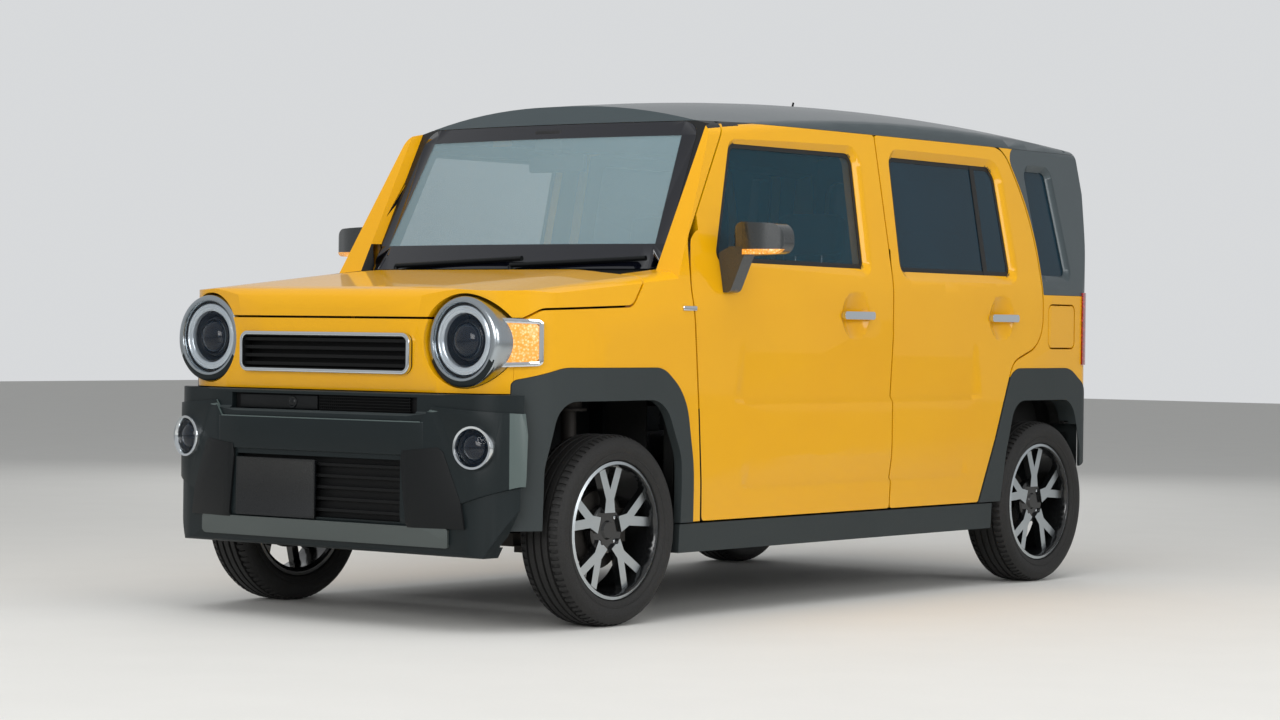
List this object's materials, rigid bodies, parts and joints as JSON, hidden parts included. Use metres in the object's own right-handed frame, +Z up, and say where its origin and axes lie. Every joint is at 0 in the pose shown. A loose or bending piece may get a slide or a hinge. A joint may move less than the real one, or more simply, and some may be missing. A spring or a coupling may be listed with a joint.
{
  "type": "kei car",
  "caption": "Boxy yellow kei-class crossover car with a dark roof, round headlamps, hinged doors, bonnet and tailgate, steered front wheels and wheels that roll",
  "frame": {"origin": "on the ground, midway along and across the car", "axes": "+Z up, the nose points to -Y, the car's left side is +X"},
  "size_m": [1.8776, 3.395, 1.7743],
  "materials": {
    "yellow_paint": "gloss",
    "roof_paint": "satin",
    "tinted_glass": "gloss",
    "trim_plastic": "grained",
    "skid_paint": "satin",
    "lamp": "gloss",
    "red_lamp": "gloss",
    "tyre": "matte",
    "alloy": "machined and painted",
    "cast_iron": "coated",
    "body_steel": "primer",
    "engine_alloy": "cast",
    "tank_plastic": "moulded",
    "cabin_plastic": "grained",
    "seat_fabric": "woven"
  },
  "bodies": {
    "body": {"front_fenders": "yellow_paint", "nose_panel": "yellow_paint", "side_frames": "yellow_paint", "roof_panel": "roof_paint", "quarter_garnish": "roof_paint", "windscreen": "tinted_glass", "quarter_glass": "tinted_glass", "arch_trims": "trim_plastic", "front_bumper": "trim_plastic", "rear_bumper": "trim_plastic", "lower_grille": "trim_plastic", "grille": "trim_plastic", "wipers": "trim_plastic", "antenna": "trim_plastic", "skid_garnish": "skid_paint", "headlamps": "lamp", "fog_lamps": "lamp", "tail_lamps": "red_lamp", "rear_axle": "cast_iron", "front_suspension": "cast_iron", "exhaust": "cast_iron", "floor_pan": "body_steel", "firewall_and_cowl": "body_steel", "engine": "engine_alloy", "fuel_tank": "tank_plastic", "dashboard": "cabin_plastic", "front_seats": "seat_fabric", "rear_seat": "seat_fabric"},
    "door_front_left": {"door_front_left": "yellow_paint", "window_front_left": "tinted_glass", "mirror_left": "roof_paint"},
    "door_front_right": {"door_front_right": "yellow_paint", "window_front_right": "tinted_glass", "mirror_right": "roof_paint"},
    "door_rear_left": {"door_rear_left": "yellow_paint", "window_rear_left": "tinted_glass"},
    "door_rear_right": {"door_rear_right": "yellow_paint", "window_rear_right": "tinted_glass"},
    "bonnet": {"bonnet": "yellow_paint"},
    "tailgate": {"tailgate": "yellow_paint", "tailgate_glass": "tinted_glass"},
    "fuel_lid": {"fuel_lid": "yellow_paint"},
    "knuckle_left": {"knuckle_left": "cast_iron"},
    "knuckle_right": {"knuckle_right": "cast_iron"},
    "wheel_front_left": {"tyre_front_left": "tyre", "wheel_front_left": "alloy"},
    "wheel_front_right": {"tyre_front_right": "tyre", "wheel_front_right": "alloy"},
    "wheel_rear_left": {"tyre_rear_left": "tyre", "wheel_rear_left": "alloy"},
    "wheel_rear_right": {"tyre_rear_right": "tyre", "wheel_rear_right": "alloy"},
    "steering_wheel": {"steering_wheel": "cabin_plastic"}
  },
  "joints": [
    {"name": "door_front_left_hinge", "type": "hinge", "parent": "body", "child": "door_front_left", "pos_m": [0.7285, -0.7315, 0.9], "axis": [0, 0, -1], "range_deg": [0, 70]},
    {"name": "door_front_right_hinge", "type": "hinge", "parent": "body", "child": "door_front_right", "pos_m": [-0.7285, -0.7315, 0.9], "axis": [0, 0, 1], "range_deg": [0, 70]},
    {"name": "door_rear_left_hinge", "type": "hinge", "parent": "body", "child": "door_rear_left", "pos_m": [0.7285, 0.3418, 0.9], "axis": [0, 0, -1], "range_deg": [0, 70]},
    {"name": "door_rear_right_hinge", "type": "hinge", "parent": "body", "child": "door_rear_right", "pos_m": [-0.7285, 0.3418, 0.9], "axis": [0, 0, 1], "range_deg": [0, 70]},
    {"name": "bonnet_hinge", "type": "hinge", "parent": "body", "child": "bonnet", "pos_m": [0, -0.9075, 1.06], "axis": [-1, 0, 0], "range_deg": [0, 50]},
    {"name": "tailgate_hinge", "type": "hinge", "parent": "body", "child": "tailgate", "pos_m": [0, 1.5885, 1.642], "axis": [1, 0, 0], "range_deg": [0, 80]},
    {"name": "fuel_lid_hinge", "type": "hinge", "parent": "body", "child": "fuel_lid", "pos_m": [0.7336, 1.3245, 0.916], "axis": [0, 0, -1], "range_deg": [0, 85]},
    {"name": "steer_left", "type": "hinge", "parent": "body", "child": "knuckle_left", "pos_m": [0.6, -1.1615, 0.236], "axis": [-0.1424, 0.033, 0.9893], "range_deg": [-33, 33]},
    {"name": "steer_right", "type": "hinge", "parent": "body", "child": "knuckle_right", "pos_m": [-0.6, -1.1615, 0.236], "axis": [0.1424, 0.033, 0.9893], "range_deg": [-33, 33]},
    {"name": "steering_wheel_turn", "type": "hinge", "parent": "body", "child": "steering_wheel", "pos_m": [-0.32, -0.29385, 0.9681], "axis": [0, 0.891, 0.454], "range_deg": [-528, 528]},
    {"name": "wheel_front_left_spin", "type": "hinge", "parent": "knuckle_left", "child": "wheel_front_left", "pos_m": [0.65, -1.1575, 0.287], "axis": [1, 0, 0], "continuous": true},
    {"name": "wheel_front_right_spin", "type": "hinge", "parent": "knuckle_right", "child": "wheel_front_right", "pos_m": [-0.65, -1.1575, 0.287], "axis": [1, 0, 0], "continuous": true},
    {"name": "wheel_rear_left_spin", "type": "hinge", "parent": "body", "child": "wheel_rear_left", "pos_m": [0.65, 1.3025, 0.287], "axis": [1, 0, 0], "continuous": true},
    {"name": "wheel_rear_right_spin", "type": "hinge", "parent": "body", "child": "wheel_rear_right", "pos_m": [-0.65, 1.3025, 0.287], "axis": [1, 0, 0], "continuous": true}
  ],
  "couplings": [
    {"joint": "steer_right", "follows": "steer_left", "ratio": 1},
    {"joint": "steering_wheel_turn", "follows": "steer_left", "ratio": 16}
  ]
}
